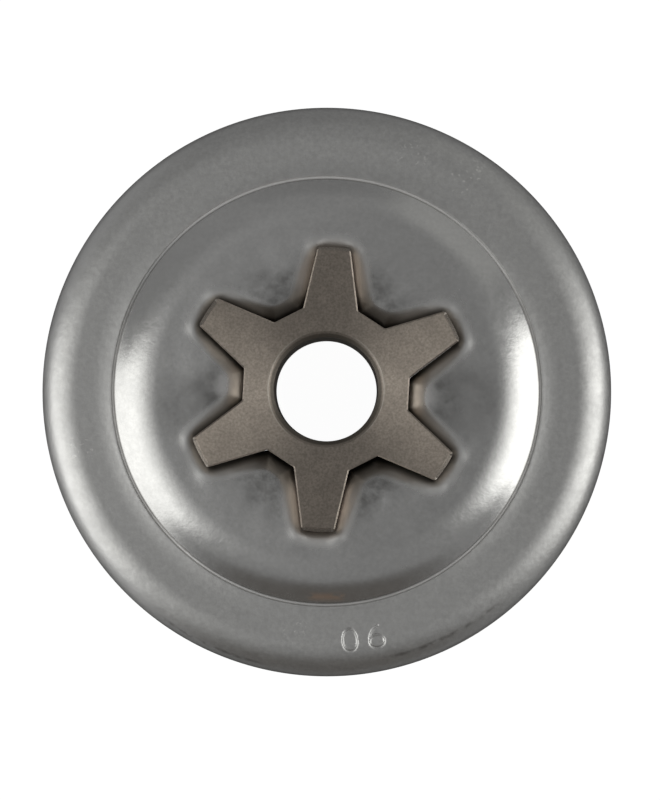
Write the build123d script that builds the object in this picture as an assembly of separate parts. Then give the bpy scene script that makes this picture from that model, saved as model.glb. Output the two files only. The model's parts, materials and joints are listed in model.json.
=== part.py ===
from build123d import *
import os
from math import cos, radians, sin, tan

# Chainsaw clutch drum: a drawn sheet-steel cup with a six-tooth spur sprocket brazed into its centre.
# Millimetres. The origin is the middle of the open rim, +Z runs along the bore towards the sprocket,
# and one tooth points along +Y.

# Cup
drum_diameter = 63.0         # outside of the friction wall
sheet = 1.5                  # thickness of the drawn sheet
ring_height = 18.0           # from the open rim to the flat ring
corner_radius = 4.2          # rounding between the wall and the ring, outside
crease_diameter = 46.5       # circle where the raised centre starts
ring_curl_radius = 9.0       # the ring curls up slightly before the crease
ring_curl_angle = 12.0
crease_radius = 0.15         # small round at the foot of the raised centre
cone_angle = 40.0            # slope of the raised centre's flank
shoulder_radius = 5.9        # rounding from the flank to the flat top
centre_rise = 2.6            # from the flat ring to the flat top of the raised centre
rim_round = 0.4              # rounding of the open rim's two edges
groove_width = 0.45          # line that the press tool leaves along the crease
groove_floor = 0.18          # width of its flat floor
groove_depth = 0.18

# Sprocket
tooth_count = 6
tip_diameter = 30.0
tip_width = 3.4              # width of a tooth at its tip
flank_angle = 10.2           # taper of each flank against the tooth's middle line
root_across = 17.4           # across two opposite root flats
tip_corner_round = 0.4
root_round = 0.3
tip_chamfer = 0.45           # turned chamfer on the tooth tips, across
tip_chamfer_length = 0.9     # and along the bore
edge_break = 0.1             # broken edge round the front face
bore_diameter = 11.0         # runs on a needle cage
bore_chamfer = 0.6           # lead-in at the bore's two ends, across
bore_chamfer_length = 0.7    # and along the bore
tooth_reach = 7.9            # from the raised centre's flat top to the sprocket's front face
inner_reach = 0.5            # the sprocket's inner end stands this far past the collar

# Collar: the edge of the star-shaped opening, bent inwards round the sprocket
collar_wall = 1.3
collar_drop = 3.6            # from the underside of the raised centre to the collar's end
lip_radius = 1.5             # bend at the top of the collar
flank_gap = 0.05             # braze gap along the flanks
tip_gap = 0.15               # room beyond the tooth tips
finger_gap = 0.1             # room between the sheet's fingers and the root flats

# A bend gives way when the flat beside it gets short: the most of that room that it may take
bend_share = 0.95

# Radii and heights that follow
tip_radius = tip_diameter / 2
bore_radius = bore_diameter / 2
crease_reach = crease_diameter / 2
ring_room = drum_diameter / 2 - corner_radius - crease_reach
curl_radius = min(ring_curl_radius, bend_share * ring_room / sin(radians(ring_curl_angle)))
crease_height = ring_height + curl_radius * (1 - cos(radians(ring_curl_angle)))
centre_height = ring_height + centre_rise
centre_room = crease_reach - tip_radius - tip_gap - lip_radius
flank_rise = centre_height - crease_height
shoulder_bend = min(
    shoulder_radius,
    (bend_share * centre_room - flank_rise / tan(radians(cone_angle))) / tan(radians(cone_angle / 2)),
    bend_share * flank_rise / (1 - cos(radians(cone_angle))))
collar_end = centre_height - sheet - collar_drop
sprocket_front = centre_height + tooth_reach
sprocket_back = collar_end - inner_reach
sprocket_length = sprocket_front - sprocket_back


def cup_line(depth):
    """Half of the cup's section, from rim to axis, at a depth below the outside of the sheet."""
    wall_reach = drum_diameter / 2 - depth
    curl_reach = crease_reach + curl_radius * sin(radians(ring_curl_angle))
    wall = Line((wall_reach, 0), (wall_reach, ring_height - corner_radius))
    corner = JernArc(wall @ 1, wall % 1, corner_radius - depth, 90)
    ring = Line(corner @ 1, (curl_reach, ring_height - depth))
    curl = JernArc(ring @ 1, ring % 1, curl_radius + depth, -ring_curl_angle)
    crease = JernArc(curl @ 1, curl % 1, crease_radius + depth, ring_curl_angle - cone_angle)
    shoulder_rise = (shoulder_bend - depth) * (1 - cos(radians(cone_angle)))
    slope_rise = centre_height - depth - shoulder_rise - (crease @ 1).Y
    slope = Line(crease @ 1, crease @ 1 + (crease % 1) * (slope_rise / sin(radians(cone_angle))))
    shoulder = JernArc(slope @ 1, slope % 1, shoulder_bend - depth, cone_angle)
    top = Line(shoulder @ 1, (0, centre_height - depth))
    return Curve() + [wall, corner, ring, curl, crease, slope, shoulder, top]


def turned(section):
    """Solid turned about the bore axis from a section drawn with x as radius and y as height."""
    return revolve(Plane.XZ * section, Axis.Z)


def crease_groove():
    """Ring-shaped cutter for the fine line beside the crease, square to the curled ring."""
    floor_start = (groove_width - groove_floor) / 2
    section = Polygon(
        (0, groove_depth), (0, 0), (floor_start, -groove_depth),
        (floor_start + groove_floor, -groove_depth), (groove_width, 0), (groove_width, groove_depth),
        align=None)
    return turned(Pos(crease_reach, crease_height) * Rot(0, 0, -ring_curl_angle) * section)


def corners_by_reach(outline):
    """The corners of a toothed outline, in groups from the innermost to the outermost."""
    return outline.vertices().group_by(lambda corner: round(Vector(corner).length, 3))


def star(flank_room, root_room, tip_room):
    """The toothed outline: a polygon of root flats with tapered teeth, cut round at their tips."""
    reach = tip_radius + tip_room
    taper = tan(radians(flank_angle))
    middle_half = tip_width / 2 + tip_radius * taper + flank_room / cos(radians(flank_angle))
    end = reach + tip_corner_round
    end_half = middle_half - end * taper
    tooth = Polygon((-middle_half, 0), (middle_half, 0), (end_half, end), (-end_half, end), align=None)
    hub = RegularPolygon(
        root_across / 2 + root_room, tooth_count, major_radius=False, rotation=90, align=None)
    outline = (hub + PolarLocations(0, tooth_count) * tooth) & Circle(reach)
    return fillet(corners_by_reach(outline)[-1], tip_corner_round + tip_room)


def drum_cup():
    """Sheet cup with its star-shaped opening bent inwards into a collar."""
    rim = Line((drum_diameter / 2, 0), (drum_diameter / 2 - sheet, 0))
    axis_side = Line((0, centre_height), (0, centre_height - sheet))
    cup = turned(make_face(cup_line(0) + cup_line(sheet) + rim + axis_side))
    cup = fillet(cup.edges().group_by(Axis.Z)[0], rim_round)
    cup -= crease_groove()
    opening = star(flank_gap, finger_gap, tip_gap)
    collar = extrude(offset(opening, collar_wall), collar_drop + sheet / 2)
    cup += Pos(0, 0, collar_end) * collar
    cup -= Pos(0, 0, collar_end) * extrude(opening, centre_height)
    flat_top = cup.faces().filter_by(Axis.Z).sort_by(Axis.Z)[-1]
    return fillet(flat_top.inner_wires().edges(), lip_radius)


def chain_sprocket():
    """Toothed wheel cut from a turned blank with chamfered tips and a plain bearing bore."""
    blank = turned(Polygon(
        (bore_radius + bore_chamfer, 0), (tip_radius - tip_chamfer, 0),
        (tip_radius, tip_chamfer_length), (tip_radius, sprocket_length - tip_chamfer_length),
        (tip_radius - tip_chamfer, sprocket_length), (bore_radius + bore_chamfer, sprocket_length),
        (bore_radius, sprocket_length - bore_chamfer_length), (bore_radius, bore_chamfer_length),
        align=None))
    outline = star(0, 0, 0)
    outline = fillet(corners_by_reach(outline)[0], root_round)
    teeth = extrude(outline, sprocket_length)
    teeth = chamfer(teeth.faces().sort_by(Axis.Z)[-1].edges(), edge_break)
    return Pos(0, 0, sprocket_back) * (teeth & blank)


os.makedirs("parts", exist_ok=True)
export_step(drum_cup(), "parts/drum_cup.step")
export_step(chain_sprocket(), "parts/chain_sprocket.step")
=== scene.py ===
import json
from collections import namedtuple
from math import atan2, ceil, cos, degrees, pi, radians, sin, sqrt, tan

import bmesh
import bpy
import numpy as np
from mathutils import Matrix, Vector


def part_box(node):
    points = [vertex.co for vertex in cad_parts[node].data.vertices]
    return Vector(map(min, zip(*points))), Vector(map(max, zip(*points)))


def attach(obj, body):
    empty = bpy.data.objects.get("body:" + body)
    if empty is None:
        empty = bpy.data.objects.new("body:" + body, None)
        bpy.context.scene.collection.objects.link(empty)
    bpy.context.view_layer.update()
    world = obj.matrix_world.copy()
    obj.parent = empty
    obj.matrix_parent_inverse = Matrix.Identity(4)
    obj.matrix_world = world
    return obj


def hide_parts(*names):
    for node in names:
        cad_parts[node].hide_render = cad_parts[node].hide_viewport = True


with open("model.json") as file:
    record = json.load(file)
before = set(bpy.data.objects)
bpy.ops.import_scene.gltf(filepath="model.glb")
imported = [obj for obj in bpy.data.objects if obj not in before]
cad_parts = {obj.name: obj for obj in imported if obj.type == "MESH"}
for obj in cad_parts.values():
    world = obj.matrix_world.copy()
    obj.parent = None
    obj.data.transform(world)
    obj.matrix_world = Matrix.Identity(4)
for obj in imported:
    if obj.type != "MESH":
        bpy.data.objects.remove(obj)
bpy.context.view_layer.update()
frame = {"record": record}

# Chainsaw clutch drum: a drawn sheet-steel cup with a sintered six-tooth sprocket brazed into its centre.
# Metres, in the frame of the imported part: the rim on z = 0, the bore along +Z, one tooth along +Y.
MM = 0.001

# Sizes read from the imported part
mounts = {mount["name"]: mount for mount in frame["record"]["mounts"]}
cup_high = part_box("drum_cup")[1]
wheel_low, wheel_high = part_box("chain_sprocket")
drum_reach = mounts["brake_wall"]["dims"]["r_mm"] * MM
sheet = drum_reach - mounts["clutch_bore"]["dims"]["r_mm"] * MM
bore_reach = mounts["bearing_bore"]["dims"]["r_mm"] * MM
centre_height = cup_high.z
tip_reach = wheel_high.y
wheel_front = wheel_high.z
wheel_back = wheel_low.z

# Sizes of the cup's section
ring_height = 18.0 * MM
corner_radius = 4.2 * MM
crease_reach = 23.15 * MM
curl_radius = 9.0 * MM
curl_angle = radians(16)
crease_radius = 0.15 * MM
cone_angle = radians(40)
shoulder_radius = 5.9 * MM
rim_round = 0.4 * MM
groove_width = 0.45 * MM
groove_floor = 0.18 * MM
groove_depth = 0.18 * MM
groove_edge = 0.07 * MM         # worn round of the groove's outer edge
groove_edge_turn = radians(50)

# Sizes of the toothed outline and of the collar round it
tooth_count = 6
tip_width = 3.4 * MM
flank_angle = radians(10.2)
root_across = 17.4 * MM
tip_corner_round = 0.4 * MM
root_round = 0.3 * MM
tip_chamfer = 0.45 * MM
tip_chamfer_length = 0.9 * MM
edge_break = 0.15 * MM          # worn a little rounder than new
bore_chamfer = 0.6 * MM
bore_chamfer_length = 0.7 * MM
collar_wall = 1.3 * MM
collar_drop = 3.6 * MM
lip_width_tip = 1.4 * MM        # bend of the sheet beside the tooth tips
lip_width_root = 2.0 * MM       # and at the ends of its fingers
lip_turn_flank = radians(52)    # how far it bends down before it meets the tooth
lip_turn_finger = radians(88)
lip_steepens = 0.7              # share of the way inwards where it starts to bend down further
flank_gap = 0.01 * MM           # closed by the braze
tip_gap = 0.15 * MM
finger_gap = 0.1 * MM
lip_soft_edge = 0.2 * MM        # how far the lip's corners are rounded off at the wall
lip_soft_top = 0.7 * MM         # and where it meets the flat top

# Unevenness that the press leaves in the sheet
crown_rise = 0.22 * MM          # the raised centre's top is slightly domed
crown_start = 20.5 * MM
crown_full = 12.0 * MM
droop = 0.08 * MM               # the fingers' ends are bent down a little
droop_start = 11.4 * MM
droop_full = 8.8 * MM
bulge_rise = 0.16 * MM          # swelling outside the two corners of each tooth tip
bulge_size = 0.6 * MM
bulge_offset = 0.85 * MM
dent_depth = 0.06 * MM          # mark of the punch on each finger's middle line
dent_size = 0.55 * MM
dent_reach = 13.2 * MM
wave_depth = 0.3 * MM           # shallow waves of the raised centre
wave_scale = 230
wave_low = centre_height - 0.02 * MM  # none below this height
wave_full = centre_height + 0.16 * MM
far_from_lip = 20 * MM          # for places that are not on the raised centre

# The stamped number on the ring: where it stands and how its strokes are cut
stamp_angle = radians(11.7)     # from the middle of its tooth's sector, towards the photograph's right
stamp_reach = 27.3 * MM
digit_height = 2.5 * MM
digit_width = 1.6 * MM
digit_pitch = 2.9 * MM
six_bowl = 0.58                 # height of the six's bowl as a share of the figure's
six_stem_start = radians(105)
six_stem_sweep = radians(75)
stroke_half = 0.15 * MM
stroke_depth = 0.09 * MM
stamp_place = 3                 # sector of the tooth along -Y

# How finely the sectors are divided
HALF_COLUMNS = 28
TIP_STEPS = 4
BEND_STEPS = 5
FLANK_STEPS = 12
CORNER_STEPS = 24
RING_STEP = 0.075 * MM
RIM_STEPS = 5
WALL_STEPS = 8
CURL_STEPS = 10
GROOVE_EDGE_STEPS = 3
CREASE_STEPS = 3
SLOPE_STEPS = 6
SHOULDER_STEPS = 20
TOP_ROWS = 16
LIP_STEPS = 12
INNER_WALL_STEPS = 5
INNER_CORNER_STEPS = 10
INNER_RING_STEPS = 2
INNER_CURL_STEPS = 4
INNER_CREASE_STEPS = 5
INNER_SLOPE_STEPS = 3
INNER_SHOULDER_STEPS = 8
FRONT_ROWS = 9
SIDE_ROWS = 7
BACK_ROWS = 5
BORE_ROWS = 6
WELD_DISTANCE = 0.002 * MM
BACK_STEP = 4 * WELD_DISTANCE     # keeps the sprocket's back edge from being welded away
CRISP_ANGLE = radians(24)

# The photograph's view: a tooth points this far clockwise of straight up
photo_turn = radians(3.3)
photo_right = Vector((cos(photo_turn), sin(photo_turn), 0))
photo_up = Vector((-sin(photo_turn), cos(photo_turn), 0))
camera_distance = 270.5 * MM       # to the ring
camera_lean = Vector((0.3, -1.0))  # degrees off the bore axis, to the photograph's right and top
photo_width = 660
focal_pixels = 2478
ring_offset = Vector((-3.5, 9.1))  # photograph's middle to the ring's middle, right and up, in pixels
sensor = 36

half_gap = pi / tooth_count

# Bearings in the photograph, in degrees from its right, anticlockwise
top_tooth = 90 - degrees(photo_turn)
bottom_tooth = top_tooth + 180
left_finger = top_tooth + 90
right_finger = top_tooth - 90
finger_turn = degrees(half_gap)    # from a tooth to the finger beside it

# Marks on the metal, some of them painted light and shade. A spot is round, seen along the bore. An arc is a
# broken line round the bore axis, with the fineness of its breaks and the share that is broken away. Bearings
# and half spans are in degrees.
Spot = namedtuple("Spot", "bearing reach radius")
Arc = namedtuple("Arc", "reach bearing half_width half_span break_scale break_share")
break_softness = 0.12
# Painted light: a large pale patch on the ring's left side, where the left light falls.
left_light_spot = [Spot(188, 28 * MM, 24 * MM)]
# Painted shade: soft dark patches on the centre's left and right, between the fingers and the highlights.
side_shade_spots = [Spot(bearing, 14.8 * MM, 5.5 * MM) for bearing in (188, -5)]
# Painted reflection: pinkish light from the flanks of the top and bottom teeth on the lips beside them.
flank_reflection_spots = [Spot(tooth, 12 * MM, 5.5 * MM) for tooth in (top_tooth, bottom_tooth)]
# Painted shadow on the lips of the four fingers above and below the sprocket.
shaded_fingers = [
    Spot(tooth + side * finger_turn, 10.3 * MM, 3.4 * MM)
    for tooth in (top_tooth, bottom_tooth) for side in (-1, 1)]
# Painted highlight on the left and right fingers, which face the lights.
lit_fingers = [Spot(finger, 10.3 * MM, 2.4 * MM) for finger in (left_finger, right_finger)]
scuffed_places = [
    Spot(57, 28.2 * MM, 3.6 * MM), Spot(70, 27.6 * MM, 2.6 * MM),
    Spot(193, 27.4 * MM, 2.6 * MM), Spot(262, 26.5 * MM, 2.2 * MM)]
# Painted highlight along the outer corner's left side, which faces the left light.
left_corner_highlight = [Arc(30.7 * MM, 182, 1.8 * MM, 70, 60.0, 0.0)]
# Pale lines along the groove at the bottom and the top: burnished, and partly a painted highlight of the
# groove's worn edge.
low_groove_burnish_and_highlight = [Arc(crease_reach + 0.17 * MM, 275, 0.2 * MM, 75, 60.0, 0.15)]
high_groove_polish_and_highlight = [Arc(crease_reach + 0.2 * MM, 75, 0.25 * MM, 75, 200.0, 0.15)]
# Dark broken lines: the first three are painted shade in the crease and its groove, the last two are grime on
# the outer corner at the bottom.
crease_shade_and_grime_lines = [
    Arc(crease_reach - 0.04 * MM, 90, 0.08 * MM, 400, 90.0, 0.35),
    Arc(crease_reach + 0.13 * MM, 187, 0.18 * MM, 45, 90.0, 0.2),
    Arc(crease_reach + 0.13 * MM, -7, 0.18 * MM, 45, 90.0, 0.2),
    Arc(30.7 * MM, 245, 0.3 * MM, 14, 700.0, 0.5),
    Arc(29.9 * MM, 295, 0.35 * MM, 16, 700.0, 0.52)]
# Painted reflection: a warm orange patch on the foot of the raised centre at the bottom.
warm_reflection_patch = [Arc(22.4 * MM, 270, 0.7 * MM, 6, 800.0, 0.4)]
bore_edge = bore_reach + bore_chamfer
# Painted highlights on the left and right of the bore's chamfer edge, which face the lights.
bore_edge_highlights = [Arc(bore_edge, bearing, 0.12 * MM, 70, 300.0, 0.35) for bearing in (175, 5)]

# Zones of the drum's finish: where each starts and where it is full
crease_blend = 0.3 * MM         # half the width of the change from ring to raised centre
sprocket_shade_start = 16.5 * MM          # painted shade of the sprocket's teeth on the raised centre, by distance from the bore axis
sprocket_shade_full = 12.5 * MM
sprocket_shade_ragged = 2.5 * MM          # how far its edge wanders
lip_zone = 2.3 * MM             # the rest by distance from the edge of the opening
lip_full = 0.9 * MM
lip_cover = 1.5 * MM            # no painted shade of the teeth nearer than this
# where the painted shade in the crevice beside the teeth starts and is full
crevice_start = 1.1 * MM
crevice_full = 0.2 * MM

# Colours of the drum's sheet, and of the light and shade painted on it
sheet_dull = (0.57, 0.57, 0.562, 1)
sheet_pale = (0.645, 0.643, 0.63, 1)
sheet_grain = (0.47, 0.468, 0.46, 1)
sheet_specks = (0.49, 0.485, 0.47, 1)
centre_pale = (0.74, 0.738, 0.725, 1)
# painted light on the ring's left side
painted_left_light = (0.78, 0.778, 0.765, 1)
# painted highlight on the outer corner
corner_highlight_pale = (0.82, 0.818, 0.81, 1)
# burnish, and painted highlight of the groove's edge
burnish_and_highlight_pale = (0.8, 0.79, 0.775, 1)
polish_and_highlight_bright = (0.97, 0.96, 0.945, 1)
# painted shade on the raised centre
painted_shade_dark = (0.16, 0.157, 0.15, 1)
# painted light on the bent lips, reflected from the teeth
lip_reflected_light = (0.72, 0.715, 0.705, 1)
# painted shade in the crevice beside the teeth
crevice_shade = (0.07, 0.066, 0.062, 1)
# painted reflection of the teeth's flanks
flank_reflection_pink = (0.8, 0.735, 0.69, 1)
# painted shadow on the fingers' lips
finger_shade_dark = (0.05, 0.048, 0.045, 1)
# painted highlight on the left and right fingers
finger_highlight_bright = (0.93, 0.92, 0.905, 1)
# painted shade in the crease, and grime
shade_and_grime_dark = (0.13, 0.12, 0.11, 1)
# painted warm reflection
warm_reflection_orange = (0.95, 0.74, 0.6, 1)
scuff_bright = (0.8, 0.79, 0.77, 1)

# Colours of the sintered sprocket, and of the light and shade painted on it
sinter_dull = (0.43, 0.37, 0.32, 1)
sinter_pale = (0.505, 0.436, 0.377, 1)
sinter_grain = (0.26, 0.241, 0.204, 1)
# painted highlight on the bore's edge
sinter_highlight = (0.62, 0.58, 0.52, 1)
# painted shade in the bore
bore_shade_dark = (0.16, 0.145, 0.125, 1)

# Roughness and relief of the two metals
sheet_rough = 0.4
ring_relief = 0.008 * MM
centre_relief = 0.004 * MM
sinter_rough = 0.46
sinter_relief = 0.004 * MM
face_anisotropy = 0.82          # turning marks on the sprocket's faced front

# The studio: a soft light fades over high_edge at its top; bearings, widths and heights are in degrees
Softbox = namedtuple("Softbox", "bearing lean half_width widen low high high_edge radiance")
softboxes = [
    Softbox(-4, -0.14, 24, 0, -7, 51, 27, 1.95),
    Softbox(194.5, 0, 23.5, 0.14, -6, 55.5, 28, 1.6),
    Softbox(52, 0, 18, 0, -5, 42, 15, 0.37)]
softbox_side_edge = radians(4)
softbox_low_edge = radians(6)
softbox_warmth = 0.98           # blue against red and green
floor_half = 3.0
floor_level = -0.02 * MM        # just under the rim, so that the two are not in one plane
floor_tone = 0.15
white = 0.97                    # of the floor's glow and of the backdrop

# Tone of the surroundings from the photograph's bottom (0) to its top (1)
below = (0.0, (0.12, 0.111, 0.102, 1))
above = (1.0, (0.22, 0.22, 0.22, 1))
between_them = [
    (0.05, (0.132, 0.125, 0.119, 1)), (0.075, (0.16, 0.156, 0.152, 1)), (0.111, (0.25, 0.25, 0.25, 1)),
    (0.13, (0.27, 0.27, 0.27, 1)), (0.3, (0.245, 0.245, 0.245, 1)), (0.7, (0.245, 0.245, 0.245, 1)),
    (0.93, (0.275, 0.275, 0.275, 1))]


class SectionLine:
    """A section drawn like a pen stroke, x as radius and y as height, with runs and tangent bends."""

    def __init__(self, start, heading):
        self.points = [Vector(start)]
        self.heading = heading

    def run(self, length, steps=1):
        """Go straight ahead."""
        start = self.points[-1]
        ahead = Vector((cos(self.heading), sin(self.heading))) * length
        self.points += [start + ahead * (step + 1) / steps for step in range(steps)]
        return self

    def bend(self, radius, turn, steps):
        """Go round an arc; a positive turn is to the left."""
        side = 1 if turn > 0 else -1
        start = self.points[-1]
        centre = start + Vector((-sin(self.heading), cos(self.heading))) * radius * side
        for step in range(steps):
            angle = self.heading + turn * (step + 1) / steps
            self.points.append(centre + Vector((sin(angle), -cos(angle))) * radius * side)
        self.heading += turn
        return self

    @property
    def end(self):
        return self.points[-1]


def outside_line():
    """The cup's outside from the rim to the edge of the flat top, finely divided under the stamp."""
    line = SectionLine((drum_reach - sheet + rim_round, 0), 0)
    line.run(sheet - 2 * rim_round)
    line.bend(rim_round, pi / 2, RIM_STEPS)
    line.run(ring_height - corner_radius - rim_round, WALL_STEPS)
    ring_start = drum_reach - corner_radius
    stamp_end = stamp_reach + digit_height / 2 + 2 * stroke_half
    fine_turn = atan2(stamp_end - ring_start, corner_radius)
    line.bend(corner_radius, pi / 2 - fine_turn, CORNER_STEPS)
    line.bend(corner_radius, fine_turn, ceil(corner_radius * fine_turn / RING_STEP))
    ring_width = ring_start - crease_reach - curl_radius * sin(curl_angle)
    line.run(ring_width, ceil(ring_width / RING_STEP))
    groove_turn = groove_width / curl_radius
    line.bend(curl_radius, groove_turn - curl_angle, CURL_STEPS)
    line.bend(groove_edge, groove_edge_turn, GROOVE_EDGE_STEPS)
    slope = curl_angle - groove_turn / 2
    outward = Vector((cos(slope), -sin(slope)))
    down = Vector((-sin(slope), -cos(slope)))
    wall_width = (groove_width - groove_floor) / 2
    crease = Vector((crease_reach, ring_height + curl_radius * (1 - cos(curl_angle))))
    line.points += [
        crease + outward * (groove_floor + wall_width) + down * groove_depth,
        crease + outward * wall_width + down * groove_depth,
        crease]
    line.heading = pi - curl_angle
    line.bend(crease_radius, curl_angle - cone_angle, CREASE_STEPS)
    rise = centre_height - shoulder_radius * (1 - cos(cone_angle)) - line.end.y
    line.run(rise / sin(cone_angle), SLOPE_STEPS)
    line.bend(shoulder_radius, cone_angle, SHOULDER_STEPS)
    return line.points


def inside_line():
    """The cup's inside from the edge of the flat top's underside back to the rim."""
    line = SectionLine((drum_reach - sheet, rim_round), pi / 2)
    line.run(ring_height - corner_radius - rim_round, INNER_WALL_STEPS)
    line.bend(corner_radius - sheet, pi / 2, INNER_CORNER_STEPS)
    line.run(line.end.x - crease_reach - curl_radius * sin(curl_angle), INNER_RING_STEPS)
    line.bend(curl_radius + sheet, -curl_angle, INNER_CURL_STEPS)
    line.bend(crease_radius + sheet, curl_angle - cone_angle, INNER_CREASE_STEPS)
    rise = centre_height - sheet - (shoulder_radius - sheet) * (1 - cos(cone_angle)) - line.end.y
    line.run(rise / sin(cone_angle), INNER_SLOPE_STEPS)
    line.bend(shoulder_radius - sheet, cone_angle, INNER_SHOULDER_STEPS)
    rim = SectionLine(line.points[0], -pi / 2).bend(rim_round, -pi / 2, RIM_STEPS)
    return line.points[::-1] + rim.points[1:]


def ray(angle):
    """Unit vector at an angle."""
    return Vector((cos(angle), sin(angle)))


def between(start, end, steps):
    """Places on a straight stretch, without its end."""
    return [tuple(a.lerp(b, step / steps) for a, b in zip(start, end)) for step in range(steps)]


def half_outline(flank_room, root_room, tip_room, root_bend):
    """Half a tooth of the outline, from the tooth's middle line (along x) to the middle of the root flat.
    Each place is a point and the outward vector that moves it to a parallel outline one unit away."""
    reach = tip_reach + tip_room
    taper = tan(flank_angle)
    middle_half = tip_width / 2 + tip_reach * taper + flank_room / cos(flank_angle)
    tip_bend = tip_corner_round + tip_room
    inner_half = middle_half - tip_bend / cos(flank_angle)
    grown = 1 + taper * taper
    along = (inner_half * taper + sqrt((reach - tip_bend) ** 2 * grown - inner_half ** 2)) / grown
    bend_centre = Vector((along, inner_half - along * taper))
    tip_turn = atan2(bend_centre.y, bend_centre.x)
    flank_turn = pi / 2 - flank_angle
    flank_out = ray(flank_turn)
    root_out = ray(half_gap)
    root_reach = root_across / 2 + root_room
    flat_half = (root_reach * (sin(half_gap) + taper * cos(half_gap)) - middle_half) / (
        cos(half_gap) - taper * sin(half_gap))
    corner = root_out * root_reach + ray(half_gap - pi / 2) * flat_half
    mitre = (flank_out + root_out) / (1 + flank_out.dot(root_out))
    places = []
    for step in range(TIP_STEPS):
        out = ray(tip_turn * step / TIP_STEPS)
        places.append((out * reach, out))
    for step in range(BEND_STEPS):
        out = ray(tip_turn + (flank_turn - tip_turn) * step / BEND_STEPS)
        places.append((bend_centre + out * tip_bend, out))
    flank_start = (bend_centre + flank_out * tip_bend, flank_out)
    flat_end = (root_out * root_reach, root_out)
    root_centre = corner + mitre * root_bend
    if root_bend:
        flank_end = (root_centre - flank_out * root_bend, flank_out)
        flat_start = (root_centre - root_out * root_bend, root_out)
    else:
        flank_end = flat_start = (corner, mitre)
    places += between(flank_start, flank_end, FLANK_STEPS)
    if root_bend:
        for step in range(BEND_STEPS):
            out = ray(flank_turn + (half_gap - flank_turn) * step / BEND_STEPS)
            places.append((root_centre - out * root_bend, out))
    places += between(flat_start, flat_end, HALF_COLUMNS - len(places)) + [flat_end]
    return places


def sector_outline(places, columns):
    """Points and outward vectors of a whole tooth along +Y, at whole or part columns between two gaps."""
    half = [(p.x, p.y, o.x, o.y) for p, o in places]
    mirrored = [(x, -y, ox, -oy) for x, y, ox, oy in half[:0:-1]]
    table = np.array(mirrored + half)
    at = np.arange(len(table))
    x, y, out_x, out_y = (np.interp(columns, at, table[:, k]) for k in range(4))
    return np.stack([-y, x], 1), np.stack([-out_y, out_x], 1)


def turned_by(points, angle):
    """Flat points turned about the bore axis."""
    return points @ np.array([[cos(angle), sin(angle)], [-sin(angle), cos(angle)]])


def soften(points, distance):
    """Round off a sector's outline by averaging it along its length, across the gaps to its neighbours."""
    loop = np.concatenate([
        turned_by(points, -2 * half_gap)[:-1], points, turned_by(points, 2 * half_gap)[1:]])
    steps = np.linalg.norm(np.diff(loop, axis=0), axis=1)
    travel = np.concatenate([[0], np.cumsum(steps)])
    own = travel[len(points) - 1:2 * len(points) - 1]
    weight = np.exp(-0.5 * ((own[:, None] - travel[None]) / distance) ** 2) * np.gradient(travel)
    return weight @ loop / weight.sum(1)[:, None]


def grid_mesh(name, rows, lip_gaps=None):
    """Mesh of a sector from its rows of points; the last row meets the first. Where given, the distance of
    each point from the edge of the opening is kept for the finish to read."""
    points = np.stack(rows)
    row_count, column_count = points.shape[:2]
    faces = []
    for row in range(row_count):
        this_row = row * column_count
        next_row = (row + 1) % row_count * column_count
        for column in range(column_count - 1):
            faces.append((
                this_row + column, this_row + column + 1, next_row + column + 1, next_row + column))
    mesh = bpy.data.meshes.new(name)
    mesh.from_pydata(points.reshape(-1, 3).tolist(), [], faces)
    if lip_gaps:
        kept = mesh.attributes.new("lip_gap", "FLOAT", "POINT")
        kept.data.foreach_set("value", np.concatenate(lip_gaps))
    return mesh


def oval(centre, half_size, start, sweep, steps=60):
    """Points along part of an oval."""
    turn = start + sweep * np.linspace(0, 1, steps)
    return np.stack([centre[0] + half_size[0] * np.cos(turn), centre[1] + half_size[1] * np.sin(turn)], 1)


def stamp_strokes():
    """Middle lines of a plain two-figure number, on a flat with x along the ring and y to its centre."""
    half_w, half_h = digit_width / 2, digit_height / 2
    left, right = -digit_pitch / 2, digit_pitch / 2
    bowl = six_bowl * half_h
    nought = oval((left, 0), (half_w, half_h), 0, 2 * pi)
    six_round = oval((right, bowl - half_h), (half_w, bowl), 0, 2 * pi)
    stem_middle = (right + half_w, bowl - half_h)
    six_stem = oval(stem_middle, (digit_width, digit_height - bowl), six_stem_start, six_stem_sweep)
    return np.concatenate([nought, six_round, six_stem])


def press_stamp(rows, section, angles):
    """Lower the points of the ring's rows along the strokes of the stamped number."""
    line = np.array([tuple(p) for p in section])
    steps = np.gradient(line, axis=0)
    down = np.stack([-steps[:, 1], steps[:, 0]], 1) / np.linalg.norm(steps, axis=1)[:, None]
    travel = np.concatenate([[0], np.cumsum(np.linalg.norm(np.diff(line, axis=0), axis=1))])
    on_top = line[:, 1] > ring_height - corner_radius
    middle = np.interp(-stamp_reach, -line[on_top, 0], travel[on_top])
    strokes = stamp_strokes()
    turn = angles + stamp_angle + pi / 2
    for index in np.nonzero(on_top & (np.abs(travel - middle) < digit_height))[0]:
        flat = np.stack([stamp_reach * angles, np.full_like(angles, travel[index] - middle)], 1)
        gap = np.linalg.norm(flat[:, None] - strokes[None], axis=2).min(1)
        press = stroke_depth * np.clip(1 - (gap / stroke_half) ** 2, 0, None)
        reach = line[index, 0] + down[index, 0] * press
        height = line[index, 1] + down[index, 1] * press
        rows[index] = np.stack([reach * np.cos(turn), reach * np.sin(turn), height], 1)


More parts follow.
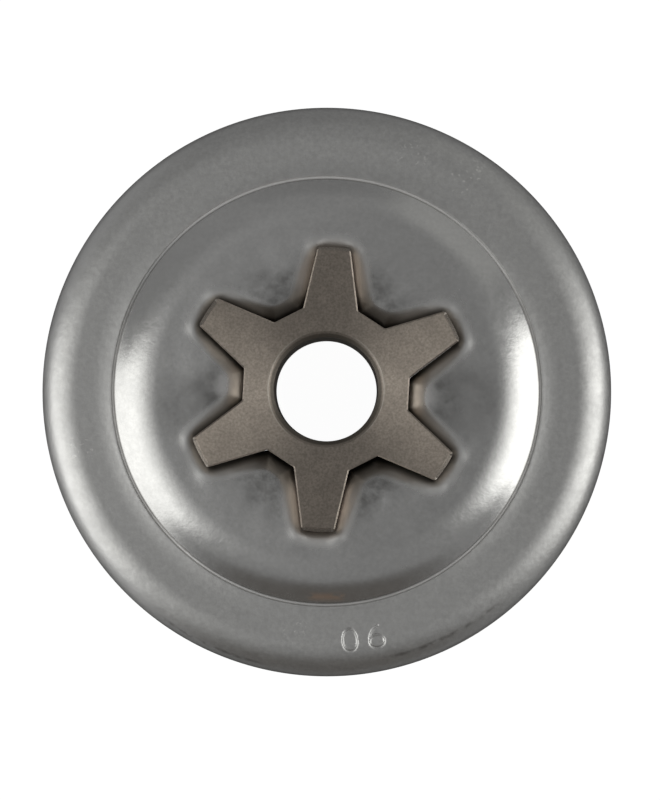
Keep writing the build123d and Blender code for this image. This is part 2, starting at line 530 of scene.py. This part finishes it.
def cup_sector(name, columns, stamped):
    """One tooth's share of the cup, all round its section: outside, lip, collar, inside."""
    angles = (columns / HALF_COLUMNS - 1) * half_gap
    turn = angles + pi / 2
    whole = np.arange(2 * HALF_COLUMNS + 1.0)
    points, out = sector_outline(half_outline(flank_gap, finger_gap, tip_gap, 0), whole)
    reaches = np.linalg.norm(points, axis=1)
    inward = (reaches.max() - reaches) / (reaches.max() - reaches.min())
    lip_width = lip_width_tip + (lip_width_root - lip_width_tip) * inward
    steeper = np.clip((inward - lip_steepens) / (1 - lip_steepens), 0, 1)
    lip_turn = lip_turn_flank + (lip_turn_finger - lip_turn_flank) * steeper ** 2 * (3 - 2 * steeper)
    lip_radius = lip_width / np.sin(lip_turn)
    corner = TIP_STEPS + BEND_STEPS // 2
    tip_corners = (HALF_COLUMNS - corner, HALF_COLUMNS + corner)
    marks = [(points[at] + out[at] * bulge_offset, bulge_size, bulge_rise) for at in tip_corners]
    finger_lines = (pi / 2 - half_gap, pi / 2 + half_gap)
    marks += [(np.array(ray(line) * dent_reach), dent_size, -dent_depth) for line in finger_lines]

    def turned(reach, height):
        return np.stack([reach * np.cos(turn), reach * np.sin(turn), np.full_like(turn, height)], 1)

    def along_outline(offset, height, softness=0):
        outline = points + out * np.broadcast_to(offset, len(whole))[:, None]
        if softness:
            outline = soften(outline, softness)
        heights = np.broadcast_to(height, len(whole))
        return np.stack([np.interp(columns, whole, line) for line in (*outline.T, heights)], 1)

    def eased(reach, start, full):
        share = np.clip((start - reach) / (start - full), 0, 1)
        return share ** 2 * (3 - 2 * share)

    section = outside_line()
    rows = [turned(p.x, p.y) for p in section]
    if stamped:
        press_stamp(rows, section, angles - stamp_angle)
    flat_edge = rows[-1]
    lip_edge = along_outline(lip_width, centre_height, lip_soft_top)
    rows += [flat_edge + (lip_edge - flat_edge) * (step + 1) / TOP_ROWS for step in range(TOP_ROWS)]
    for step in range(1, LIP_STEPS + 1):
        bend = lip_turn * step / LIP_STEPS
        softness = lip_soft_top + (lip_soft_edge - lip_soft_top) * (step / LIP_STEPS) ** 2
        height = centre_height - lip_radius * (1 - np.cos(bend))
        rows.append(along_outline(lip_width - lip_radius * np.sin(bend), height, softness))
    no_lip = [np.full(len(columns), far_from_lip)]
    lip_gaps = no_lip * len(section)
    for row in rows:
        reach = np.linalg.norm(row[:, :2], axis=1)
        row[:, 2] += crown_rise * eased(reach, crown_start, crown_full)
        row[:, 2] -= droop * eased(reach, droop_start, droop_full)
    for row in rows[len(section):]:
        lip_gaps.append(np.linalg.norm(row[:, None, :2] - points, axis=2).min(1))
        for centre, size, rise in marks:
            gap = np.linalg.norm(row[:, :2] - centre, axis=1)
            row[:, 2] += rise * np.exp(-0.5 * (gap / size) ** 2)
    lip_end = centre_height - lip_radius * (1 - np.cos(lip_turn))
    collar_end = centre_height - sheet - collar_drop
    for share in (0.5, 1):
        rows.append(along_outline(0, lip_end + (collar_end - lip_end) * share, lip_soft_edge))
    rows += [along_outline(collar_wall, collar_end + collar_drop * share) for share in (0, 0.5, 1)]
    inside = inside_line()
    collar_foot = rows[-1]
    inner_edge = turned(inside[0].x, inside[0].y)
    rows += [collar_foot + (inner_edge - collar_foot) * share for share in (0.35, 0.7)]
    rows += [turned(p.x, p.y) for p in inside[:-1]]
    return grid_mesh(name, rows, lip_gaps + no_lip * (len(rows) - len(lip_gaps)))


def stamped_columns():
    """Column positions of the stamped sector: fine across the number, coarse elsewhere."""
    per_angle = HALF_COLUMNS / half_gap
    half_span = (digit_pitch + digit_width + 3 * stroke_half) / 2 / stamp_reach
    first = int((stamp_angle - half_span + half_gap) * per_angle)
    last = ceil((stamp_angle + half_span + half_gap) * per_angle)
    fine = RING_STEP / stamp_reach * per_angle
    dense = np.linspace(first, last, ceil((last - first) / fine) + 1)
    whole = np.arange(2 * HALF_COLUMNS + 1)
    return np.unique(np.concatenate([whole[whole < first], dense, whole[whole > last]]))


def wheel_sector(name):
    """One tooth of the sprocket with its share of the bore, all round its section."""
    columns = np.arange(2 * HALF_COLUMNS + 1.0)
    turn = (columns / HALF_COLUMNS - 1) * half_gap + pi / 2
    points, out = sector_outline(half_outline(0, 0, 0, root_round), columns)
    tip_share = np.clip(1 - (np.abs(columns - HALF_COLUMNS) - TIP_STEPS) / BEND_STEPS, 0, 1)[:, None]
    front_inset = edge_break + (tip_chamfer - edge_break) * tip_share
    front_drop = edge_break + (tip_chamfer_length - edge_break) * tip_share

    def turned(reach, height):
        return np.stack([reach * np.cos(turn), reach * np.sin(turn), np.full_like(turn, height)], 1)

    def along_outline(inset, height):
        return np.column_stack([points - out * inset, np.broadcast_to(height, (len(turn), 1))])

    front_circle = turned(bore_reach + bore_chamfer, wheel_front)
    front_edge = along_outline(front_inset, wheel_front)
    wall_top = along_outline(0, wheel_front - front_drop)
    wall_foot = along_outline(0, wheel_back + BACK_STEP + tip_chamfer_length * tip_share)
    back_edge = along_outline(tip_chamfer * tip_share, wheel_back)
    back_circle = turned(bore_reach + bore_chamfer, wheel_back)
    rows = [front_circle + (front_edge - front_circle) * share for share in np.linspace(0, 1, FRONT_ROWS)]
    rows += [wall_top + (wall_foot - wall_top) * share for share in np.linspace(0, 1, SIDE_ROWS)]
    rows += [back_edge + (back_circle - back_edge) * share for share in np.linspace(0, 1, BACK_ROWS)]
    low, high = wheel_back + bore_chamfer_length, wheel_front - bore_chamfer_length
    rows += [turned(bore_reach, height) for height in np.linspace(low, high, BORE_ROWS)]
    return grid_mesh(name, rows)


def put(tree, kind, inputs, **settings):
    """New node: its own settings first, then its inputs, each a value or another node's output."""
    made = tree.nodes.new(kind)
    for name, value in settings.items():
        setattr(made, name, value)
    for key, value in inputs.items():
        if isinstance(value, bpy.types.NodeSocket):
            tree.links.new(value, made.inputs[key])
        else:
            made.inputs[key].default_value = value
    return made


def calc(tree, operation, *values):
    """Output of a sum."""
    return put(tree, "ShaderNodeMath", dict(enumerate(values)), operation=operation).outputs[0]


def fade(tree, value, start, end):
    """Smooth step from 0 at start to 1 at end."""
    ends = {"Value": value, "From Min": start, "From Max": end}
    return put(tree, "ShaderNodeMapRange", ends, interpolation_type="SMOOTHSTEP").outputs[0]


def blend(tree, share, first, second):
    """Colour between two colours."""
    colours = {0: share, 6: first, 7: second}
    return put(tree, "ShaderNodeMix", colours, data_type="RGBA").outputs[2]


def noise(tree, vector, scale, detail=2.0, roughness=0.5):
    """Noise value from 0 to 1."""
    values = {"Vector": vector, "Scale": scale, "Detail": detail, "Roughness": roughness}
    return put(tree, "ShaderNodeTexNoise", values).outputs[0]


def new_group(name, kind, inputs, outputs):
    """Empty node group with named sockets: the group, what it is given and where its results go."""
    tree = bpy.data.node_groups.new(name, kind)
    for direction, sockets in (("INPUT", inputs), ("OUTPUT", outputs)):
        for socket, value_type in sockets.items():
            tree.interface.new_socket(socket, in_out=direction, socket_type="NodeSocket" + value_type)
    return tree, tree.nodes.new("NodeGroupInput").outputs, tree.nodes.new("NodeGroupOutput").inputs


def sector_tree():
    """Geometry Nodes tree that repeats a sector about the bore axis, welds the sectors into one piece and
    adds the sheet's unevenness."""
    tree, given, result = new_group("sectors_round_bore", "GeometryNodeTree", {
        "Geometry": "Geometry", "Plain sector": "Object", "Marked sector": "Object", "Marked place": "Int",
        "Sector count": "Int", "Weld distance": "Float", "Wave depth": "Float", "Wave scale": "Float",
        "Wave low": "Float", "Wave full": "Float", "Finish": "Material"}, {"Geometry": "Geometry"})
    places = put(tree, "GeometryNodeMeshLine", {"Count": given["Sector count"], "Offset": (0, 0, 0)})
    index = put(tree, "GeometryNodeInputIndex", {}).outputs[0]
    turn = calc(tree, "MULTIPLY", index, calc(tree, "DIVIDE", 2 * pi, given["Sector count"]))
    euler = put(tree, "ShaderNodeCombineXYZ", {"Z": turn})
    rotation = put(tree, "FunctionNodeEulerToRotation", {0: euler.outputs[0]}).outputs[0]
    marked = put(tree, "FunctionNodeCompare", {2: index, 3: given["Marked place"]},
                 data_type="INT", operation="EQUAL").outputs[0]
    plain = put(tree, "FunctionNodeBooleanMath", {0: marked}, operation="NOT").outputs[0]
    join = put(tree, "GeometryNodeJoinGeometry", {})
    for sector, chosen in (("Plain sector", plain), ("Marked sector", marked)):
        source = put(tree, "GeometryNodeObjectInfo", {"Object": given[sector]})
        copies = put(tree, "GeometryNodeInstanceOnPoints", {
            "Points": places.outputs[0], "Instance": source.outputs["Geometry"],
            "Selection": chosen, "Rotation": rotation})
        tree.links.new(copies.outputs[0], join.inputs[0])
    realize = put(tree, "GeometryNodeRealizeInstances", {"Geometry": join.outputs[0]})
    weld = put(tree, "GeometryNodeMergeByDistance", {
        "Geometry": realize.outputs[0], "Distance": given["Weld distance"]})
    position = put(tree, "GeometryNodeInputPosition", {}).outputs[0]
    height = put(tree, "ShaderNodeSeparateXYZ", {0: position}).outputs["Z"]
    wave = calc(tree, "SUBTRACT", noise(tree, position, given["Wave scale"], detail=1.0), 0.5)
    on_top = fade(tree, height, given["Wave low"], given["Wave full"])
    lift = calc(tree, "MULTIPLY", calc(tree, "MULTIPLY", wave, on_top), given["Wave depth"])
    offset = put(tree, "ShaderNodeCombineXYZ", {"Z": lift}).outputs[0]
    waved = put(tree, "GeometryNodeSetPosition", {"Geometry": weld.outputs[0], "Offset": offset})
    finish = put(tree, "GeometryNodeSetMaterial", {
        "Geometry": waved.outputs[0], "Material": given["Finish"]})
    tree.links.new(finish.outputs[0], result["Geometry"])
    return tree


def new_object(name, data):
    """Object in the scene."""
    made = bpy.data.objects.new(name, data)
    bpy.context.scene.collection.objects.link(made)
    return made


def round_piece(name, tree, material, sectors, wave):
    """A finished piece: sectors repeated by the tree, made a plain mesh, with outward faces, crisp edges."""
    helpers = [new_object(mesh.name, mesh) for mesh in sectors]
    holder = new_object(name + "_holder", bpy.data.meshes.new(name + "_holder"))
    modifier = holder.modifiers.new("sectors", "NODES")
    modifier.node_group = tree
    values = {
        "Plain sector": helpers[0], "Marked sector": helpers[-1],
        "Marked place": stamp_place if len(helpers) > 1 else -1,
        "Sector count": tooth_count, "Weld distance": WELD_DISTANCE, "Wave depth": wave,
        "Wave scale": wave_scale, "Wave low": wave_low, "Wave full": wave_full, "Finish": material}
    for item in tree.interface.items_tree:
        if item.in_out == "INPUT" and item.name in values:
            modifier[item.identifier] = values[item.name]
    evaluated = holder.evaluated_get(bpy.context.evaluated_depsgraph_get())
    mesh = bpy.data.meshes.new_from_object(evaluated)
    mesh.name = name
    for helper in helpers + [holder]:
        bpy.data.objects.remove(helper)
    shell = bmesh.new()
    shell.from_mesh(mesh)
    bmesh.ops.recalc_face_normals(shell, faces=shell.faces)
    shell.to_mesh(mesh)
    shell.free()
    mesh.shade_smooth()
    mesh.set_sharp_from_angle(angle=CRISP_ANGLE)
    return new_object(name, mesh)


def flattened(tree, place):
    """The place without its height."""
    return put(tree, "ShaderNodeVectorMath", {0: place, 1: (1, 1, 0)}, operation="MULTIPLY").outputs[0]


def reach_of(tree, place):
    """Distance from the bore axis."""
    flat = flattened(tree, place)
    return put(tree, "ShaderNodeVectorMath", {0: flat}, operation="LENGTH").outputs["Value"]


def metal_grain_group():
    """Shared by both metals: soft patches, and fine grain for tone and for bump."""
    tree, given, result = new_group("metal_grain", "ShaderNodeTree", {
        "Vector": "Vector", "Patch scale": "Float", "Grain scale": "Float"}, {
        "Patches": "Float", "Grain": "Float"})
    patches = noise(tree, given["Vector"], given["Patch scale"], detail=4.0, roughness=0.6)
    grain = noise(tree, given["Vector"], given["Grain scale"], detail=3.0, roughness=0.65)
    tree.links.new(fade(tree, patches, 0.3, 0.7), result["Patches"])
    tree.links.new(fade(tree, grain, 0.25, 0.75), result["Grain"])
    return tree


def arc_mark_group():
    """Shared by both metals: a broken line along part of a circle about the bore axis."""
    tree, given, result = new_group("arc_mark", "ShaderNodeTree", {
        "Vector": "Vector", "Reach": "Float", "Turn": "Float", "Half width": "Float",
        "Half span": "Float", "Break scale": "Float", "Break share": "Float"}, {"Mask": "Float"})
    back = calc(tree, "MULTIPLY", given["Turn"], -1.0)
    faced = put(tree, "ShaderNodeVectorRotate", {"Vector": given["Vector"], "Angle": back},
                rotation_type="Z_AXIS").outputs[0]
    across = put(tree, "ShaderNodeSeparateXYZ", {0: faced}).outputs
    turn = calc(tree, "ABSOLUTE", calc(tree, "ARCTAN2", across["Y"], across["X"]))
    gap = calc(tree, "ABSOLUTE", calc(tree, "SUBTRACT", reach_of(tree, faced), given["Reach"]))
    line = fade(tree, gap, given["Half width"], 0.0)
    full_span = calc(tree, "MULTIPLY", given["Half span"], 0.6)
    span = fade(tree, turn, given["Half span"], full_span)
    patchy = noise(tree, given["Vector"], given["Break scale"], detail=3.0, roughness=0.6)
    low = calc(tree, "SUBTRACT", given["Break share"], break_softness)
    high = calc(tree, "ADD", given["Break share"], break_softness)
    kept = fade(tree, patchy, low, high)
    mask = calc(tree, "MULTIPLY", calc(tree, "MULTIPLY", line, span), kept)
    tree.links.new(mask, result["Mask"])
    return tree


def arc(tree, group, place, mark):
    """Mask of one broken line."""
    return put(tree, "ShaderNodeGroup", {
        "Vector": place, "Reach": mark.reach, "Turn": radians(mark.bearing) + photo_turn,
        "Half width": mark.half_width, "Half span": radians(mark.half_span),
        "Break scale": mark.break_scale, "Break share": mark.break_share}, node_tree=group).outputs["Mask"]


def new_metal(name):
    """Bare metal: its tree, its shader and the place of each point on the piece."""
    material = bpy.data.materials.new(name)
    material.use_nodes = True
    tree = material.node_tree
    shader = tree.nodes["Principled BSDF"]
    shader.inputs["Metallic"].default_value = 1
    place = put(tree, "ShaderNodeTexCoord", {}).outputs["Object"]
    return material, tree, shader, place


def spot(tree, place, mark):
    """Mask of a round place, seen along the bore."""
    turn = radians(mark.bearing)
    centre = (photo_right * cos(turn) + photo_up * sin(turn)) * mark.reach
    flat = flattened(tree, place)
    gap = put(tree, "ShaderNodeVectorMath", {0: flat, 1: centre}, operation="DISTANCE").outputs["Value"]
    return fade(tree, gap, mark.radius, 0.3 * mark.radius)


def brightest(tree, masks):
    """The strongest of several masks."""
    strongest = masks[0]
    for mask in masks[1:]:
        strongest = calc(tree, "MAXIMUM", strongest, mask)
    return strongest


def spots(tree, place, marks):
    """Mask of several round places."""
    return brightest(tree, [spot(tree, place, mark) for mark in marks])


def arcs(tree, group, place, marks):
    """Mask of several broken lines."""
    return brightest(tree, [arc(tree, group, place, mark) for mark in marks])


def grained(tree, group, place, patch_scale, grain_scale):
    """Soft patches and fine grain of a metal."""
    return put(tree, "ShaderNodeGroup", {
        "Vector": place, "Patch scale": patch_scale, "Grain scale": grain_scale}, node_tree=group).outputs


def tint(tree, colour, target, mask, strength=1.0):
    """The colour, drawn towards another one where the mask says so."""
    return blend(tree, calc(tree, "MULTIPLY", mask, strength), colour, target)


def drum_finish(grain_group, mark_group):
    """Drawn sheet steel: satin, softly patched, with scuffs, grime and a burnished crease, and with painted
    highlights, reflections, light and shade.
    """
    material, tree, shader, place = new_metal("drum_steel")
    soft = grained(tree, grain_group, place, patch_scale=230.0, grain_scale=2000.0)
    fine = grained(tree, grain_group, place, patch_scale=900.0, grain_scale=6500.0)
    reach = reach_of(tree, place)
    raised = fade(tree, reach, crease_reach + crease_blend, crease_reach - crease_blend)
    flat_ring = calc(tree, "SUBTRACT", 1.0, raised)
    lip_gap = put(tree, "ShaderNodeAttribute", {}, attribute_name="lip_gap").outputs["Fac"]
    on_lip = fade(tree, lip_gap, lip_zone, lip_full)
    off_lip = fade(tree, lip_gap, lip_cover, lip_zone)

    colour = blend(tree, soft["Patches"], sheet_dull, sheet_pale)
    colour = tint(tree, colour, sheet_grain, soft["Grain"], strength=0.75)
    colour = tint(tree, colour, sheet_specks, fine["Grain"], strength=0.3)
    colour = tint(tree, colour, centre_pale, raised, strength=0.35)
    # Painted light on the ring's left side.
    left_lit = calc(tree, "MULTIPLY", spots(tree, place, left_light_spot), flat_ring)
    colour = tint(tree, colour, painted_left_light, left_lit, strength=0.2)
    # Painted highlight on the left of the outer corner.
    colour = tint(tree, colour, corner_highlight_pale, arcs(tree, mark_group, place, left_corner_highlight), strength=0.6)
    # Burnished groove, brightened further by a painted highlight of its edge.
    burnish_and_highlight = arcs(tree, mark_group, place, low_groove_burnish_and_highlight)
    colour = tint(tree, colour, burnish_and_highlight_pale, burnish_and_highlight)
    colour = tint(tree, colour, polish_and_highlight_bright, arcs(tree, mark_group, place, high_groove_polish_and_highlight))

    # Painted shade: the centre darkens, patchily, towards the sprocket's teeth.
    wandering = calc(tree, "MULTIPLY_ADD", soft["Patches"], sprocket_shade_ragged, reach)
    sprocket_shaded = calc(tree, "MULTIPLY", fade(tree, wandering, sprocket_shade_start, sprocket_shade_full), off_lip)
    sprocket_shade_strength = calc(tree, "MULTIPLY_ADD", fine["Patches"], 0.6, 0.15)
    colour = tint(tree, colour, painted_shade_dark, sprocket_shaded, sprocket_shade_strength)
    # Painted shade on the centre's left and right.
    side_shade_strength = calc(tree, "MULTIPLY_ADD", soft["Patches"], 0.3, 0.15)
    side_shaded = calc(tree, "MULTIPLY", spots(tree, place, side_shade_spots), side_shade_strength)
    colour = tint(tree, colour, painted_shade_dark, side_shaded, off_lip)

    # Painted light: the lips round the teeth are made paler, as if lit by the teeth's flanks.
    colour = tint(tree, colour, lip_reflected_light, on_lip, strength=0.3)
    # Painted shade in the crevice between the lip and the tooth.
    colour = tint(tree, colour, crevice_shade, fade(tree, lip_gap, crevice_start, crevice_full), strength=0.8)
    # Painted reflection of the flanks of the top and bottom teeth on their lips.
    flank_reflected = calc(tree, "MULTIPLY", spots(tree, place, flank_reflection_spots), on_lip)
    colour = tint(tree, colour, flank_reflection_pink, flank_reflected, strength=0.6)
    # Painted shadow on the lips of the upper and lower fingers.
    finger_shaded = calc(tree, "MULTIPLY", spots(tree, place, shaded_fingers), on_lip)
    colour = tint(tree, colour, finger_shade_dark, finger_shaded, strength=0.55)
    # Painted highlight on the fingers facing the lights.
    colour = tint(tree, colour, finger_highlight_bright, spots(tree, place, lit_fingers), strength=0.75)

    # Painted shade in the crease and groove; grime on the outer corner.
    colour = tint(tree, colour, shade_and_grime_dark, arcs(tree, mark_group, place, crease_shade_and_grime_lines), strength=0.55)
    # Painted warm reflection at the bottom of the raised centre's foot.
    colour = tint(tree, colour, warm_reflection_orange, arcs(tree, mark_group, place, warm_reflection_patch), strength=0.8)
    specks = fade(tree, noise(tree, place, 2100.0, detail=2.0, roughness=0.6), 0.6, 0.68)
    scuffs = calc(tree, "MULTIPLY", spots(tree, place, scuffed_places), specks)
    colour = tint(tree, colour, scuff_bright, scuffs, strength=0.6)
    tree.links.new(colour, shader.inputs["Base Color"])

    rough = sheet_rough
    for mask, change in (
            (raised, -0.17), (on_lip, 0.2), (soft["Patches"], -0.05), (fine["Patches"], 0.05),
            (burnish_and_highlight, -0.05)):
        rough = calc(tree, "MULTIPLY_ADD", mask, change, rough)
    tree.links.new(rough, shader.inputs["Roughness"])

    height = calc(tree, "MULTIPLY", fine["Patches"], 1.2)
    for mask, rise in ((soft["Grain"], 0.5), (scuffs, -1.0)):
        height = calc(tree, "MULTIPLY_ADD", mask, rise, height)
    relief = calc(tree, "MULTIPLY_ADD", raised, centre_relief - ring_relief, ring_relief)
    bump = put(tree, "ShaderNodeBump", {"Strength": 1.0, "Distance": relief, "Height": height})
    tree.links.new(bump.outputs[0], shader.inputs["Normal"])
    return material


def sprocket_finish(grain_group, mark_group):
    """Sintered steel: brownish grey, matt, grainy, with a faced front whose turning marks run round, painted
    shade in the bore and painted highlights on its edge.
    """
    material, tree, shader, place = new_metal("sprocket_steel")
    grain = grained(tree, grain_group, place, patch_scale=420.0, grain_scale=4200.0)
    height = put(tree, "ShaderNodeSeparateXYZ", {0: place}).outputs["Z"]
    sides = fade(tree, height, wheel_front - edge_break, wheel_front - 2.5 * edge_break)
    bore = calc(tree, "MULTIPLY", sides, fade(tree, reach_of(tree, place), bore_edge + 0.1 * MM, bore_edge))

    colour = blend(tree, grain["Patches"], sinter_dull, sinter_pale)
    colour = tint(tree, colour, sinter_grain, grain["Grain"], strength=0.7)
    # Painted highlights on the bore's edge.
    bore_edge_lit = arcs(tree, mark_group, place, bore_edge_highlights)
    colour = tint(tree, colour, sinter_highlight, bore_edge_lit, strength=0.6)
    # Painted shade on the bore's walls.
    colour = tint(tree, colour, bore_shade_dark, bore, strength=0.75)
    tree.links.new(colour, shader.inputs["Base Color"])

    rough = calc(tree, "MULTIPLY_ADD", grain["Grain"], 0.12, sinter_rough)
    rough = calc(tree, "MULTIPLY_ADD", calc(tree, "SUBTRACT", sides, bore), -0.25, rough)
    tree.links.new(rough, shader.inputs["Roughness"])
    anisotropy = calc(tree, "MULTIPLY_ADD", sides, -face_anisotropy, face_anisotropy)
    tree.links.new(anisotropy, shader.inputs["Anisotropic"])
    shader.inputs["Anisotropic Rotation"].default_value = 0.25
    tangent = put(tree, "ShaderNodeTangent", {}, direction_type="RADIAL", axis="Z")
    tree.links.new(tangent.outputs[0], shader.inputs["Tangent"])
    bump = put(tree, "ShaderNodeBump", {"Strength": 1.0, "Distance": sinter_relief, "Height": grain["Grain"]})
    tree.links.new(bump.outputs[0], shader.inputs["Normal"])
    return material


def photo_camera():
    """Camera at the photograph's place, with its field of view and framing."""
    data = bpy.data.cameras.new("photo_camera")
    data.sensor_fit = "HORIZONTAL"
    data.sensor_width = sensor
    data.lens = sensor * focal_pixels / photo_width
    data.shift_x = -ring_offset.x / photo_width
    data.shift_y = -ring_offset.y / photo_width
    camera = new_object("photo_camera", data)
    lean_x, lean_y = (tan(radians(lean)) for lean in camera_lean)
    back = (Vector((0, 0, 1)) + photo_right * lean_x + photo_up * lean_y).normalized()
    right = photo_up.cross(back).normalized()
    up = back.cross(right)
    place = Vector((0, 0, ring_height)) + back * camera_distance
    camera.matrix_world = Matrix((
        (right.x, up.x, back.x, place.x), (right.y, up.y, back.y, place.y),
        (right.z, up.z, back.z, place.z), (0, 0, 0, 1)))
    bpy.context.scene.camera = camera


def softbox_group():
    """A soft-edged patch of light in the surroundings, between two heights, centred on one bearing."""
    tree, given, result = new_group("softbox", "ShaderNodeTree", {
        "Direction": "Vector", "Turn": "Float", "Lean": "Float", "Half width": "Float", "Widen": "Float",
        "Width edge": "Float", "Low": "Float", "Low edge": "Float", "High": "Float", "High edge": "Float"},
        {"Mask": "Float"})
    back = calc(tree, "MULTIPLY", given["Turn"], -1.0)
    faced = put(tree, "ShaderNodeVectorRotate", {"Vector": given["Direction"], "Angle": back},
                rotation_type="Z_AXIS").outputs[0]
    parts = put(tree, "ShaderNodeSeparateXYZ", {0: faced}).outputs
    height = calc(tree, "ARCSINE", parts["Z"])
    bearing = calc(tree, "ARCTAN2", parts["Y"], parts["X"])
    bearing = calc(tree, "SUBTRACT", bearing, calc(tree, "MULTIPLY", height, given["Lean"]))
    half_width = calc(tree, "MULTIPLY_ADD", height, given["Widen"], given["Half width"])

    def edge(value, middle, half_edge, sign):
        start = calc(tree, "MULTIPLY_ADD", half_edge, -sign, middle)
        end = calc(tree, "MULTIPLY_ADD", half_edge, sign, middle)
        return fade(tree, value, start, end)

    mask = edge(calc(tree, "ABSOLUTE", bearing), half_width, given["Width edge"], -1.0)
    mask = calc(tree, "MULTIPLY", mask, edge(height, given["Low"], given["Low edge"], 1.0))
    mask = calc(tree, "MULTIPLY", mask, edge(height, given["High"], given["High edge"], -1.0))
    tree.links.new(mask, result["Mask"])
    return tree


def grey(level):
    """Neutral colour."""
    return (level, level, level, 1)


def share_along(tree, way, direction):
    """How far a direction of view runs along another direction, from -1 to 1."""
    return put(tree, "ShaderNodeVectorMath", {0: way, 1: direction}, operation="DOT_PRODUCT").outputs["Value"]


def pale_floor():
    """White floor that the metal doesn't mirror."""
    corners = [(x * floor_half, y * floor_half, floor_level) for x, y in ((-1, -1), (1, -1), (1, 1), (-1, 1))]
    mesh = bpy.data.meshes.new("floor")
    mesh.from_pydata(corners, [], [(0, 1, 2, 3)])
    floor = new_object("floor", mesh)
    paper = bpy.data.materials.new("floor_paper")
    paper.use_nodes = True
    sockets = paper.node_tree.nodes["Principled BSDF"].inputs
    sockets["Base Color"].default_value = grey(floor_tone)
    sockets["Roughness"].default_value = 1
    sockets["Specular IOR Level"].default_value = 0
    sockets["Emission Color"].default_value = grey(1)
    sockets["Emission Strength"].default_value = white
    mesh.materials.append(paper)
    floor.visible_glossy = False
    floor.visible_diffuse = False


def surroundings(tree, way):
    """Light that comes from each direction: plain grey surroundings with the soft lights in them."""
    upward = share_along(tree, way, photo_up)
    ramp = put(tree, "ShaderNodeValToRGB", {"Fac": calc(tree, "MULTIPLY_ADD", upward, 0.5, 0.5)})
    stops = ramp.color_ramp.elements
    for stop, (position, colour) in zip(stops, (below, above)):
        stop.position = position
        stop.color = colour
    for position, colour in between_them:
        stops.new(position).color = colour
    rise = put(tree, "ShaderNodeSeparateXYZ", {0: way}).outputs["Z"]
    light = tint(tree, ramp.outputs["Color"], grey(0.04), fade(tree, rise, -0.5, -0.9))
    overhead = fade(tree, rise, cos(radians(11)), cos(radians(1)))
    light = tint(tree, light, grey(0.19), overhead)
    sideways = share_along(tree, way, photo_right)
    leftward = calc(tree, "MULTIPLY", fade(tree, sideways, 0.12, -0.16), fade(tree, rise, 0.6, 0.95))
    light = tint(tree, light, grey(0.33), leftward, strength=0.75)
    group = softbox_group()
    for box in softboxes:
        patch = put(tree, "ShaderNodeGroup", {
            "Direction": way, "Turn": radians(box.bearing) + photo_turn, "Lean": box.lean,
            "Half width": radians(box.half_width), "Widen": box.widen, "Width edge": softbox_side_edge,
            "Low": radians(box.low), "Low edge": softbox_low_edge,
            "High": radians(box.high), "High edge": radians(box.high_edge)}, node_tree=group).outputs["Mask"]
        light = tint(tree, light, (box.radiance, box.radiance, box.radiance * softbox_warmth, 1), patch)
    return light


def studio():
    """White floor and backdrop, two soft side lights and a fainter one between them."""
    pale_floor()
    world = bpy.data.worlds.new("studio")
    world.use_nodes = True
    tree = world.node_tree
    tree.nodes.clear()
    way = put(tree, "ShaderNodeTexCoord", {}).outputs["Generated"]
    around = put(tree, "ShaderNodeBackground", {"Color": surroundings(tree, way)})
    seen = put(tree, "ShaderNodeBackground", {"Color": grey(white)})
    by_camera = put(tree, "ShaderNodeLightPath", {}).outputs["Is Camera Ray"]
    mix = put(tree, "ShaderNodeMixShader", {0: by_camera, 1: around.outputs[0], 2: seen.outputs[0]})
    put(tree, "ShaderNodeOutputWorld", {"Surface": mix.outputs[0]})
    bpy.context.scene.world = world
    bpy.context.scene.view_settings.view_transform = "Standard"


sectors_tree = sector_tree()
grains = metal_grain_group()
arc_marks = arc_mark_group()
even_columns = np.arange(2 * HALF_COLUMNS + 1.0)
cup_sectors = [
    cup_sector("cup_sector", even_columns, stamped=False),
    cup_sector("cup_stamped", stamped_columns(), stamped=True)]
cup = round_piece(
    "drum_cup_shell", sectors_tree, drum_finish(grains, arc_marks), cup_sectors, wave_depth)
wheel = round_piece(
    "chain_sprocket_wheel", sectors_tree, sprocket_finish(grains, arc_marks),
    [wheel_sector("wheel_sector")], wave=0.0)
for piece, node, slot in ((cup, "drum_cup", "drum_steel"), (wheel, "chain_sprocket", "sprocket_steel")):
    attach(piece, "root")
    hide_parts(node)
studio()
photo_camera()
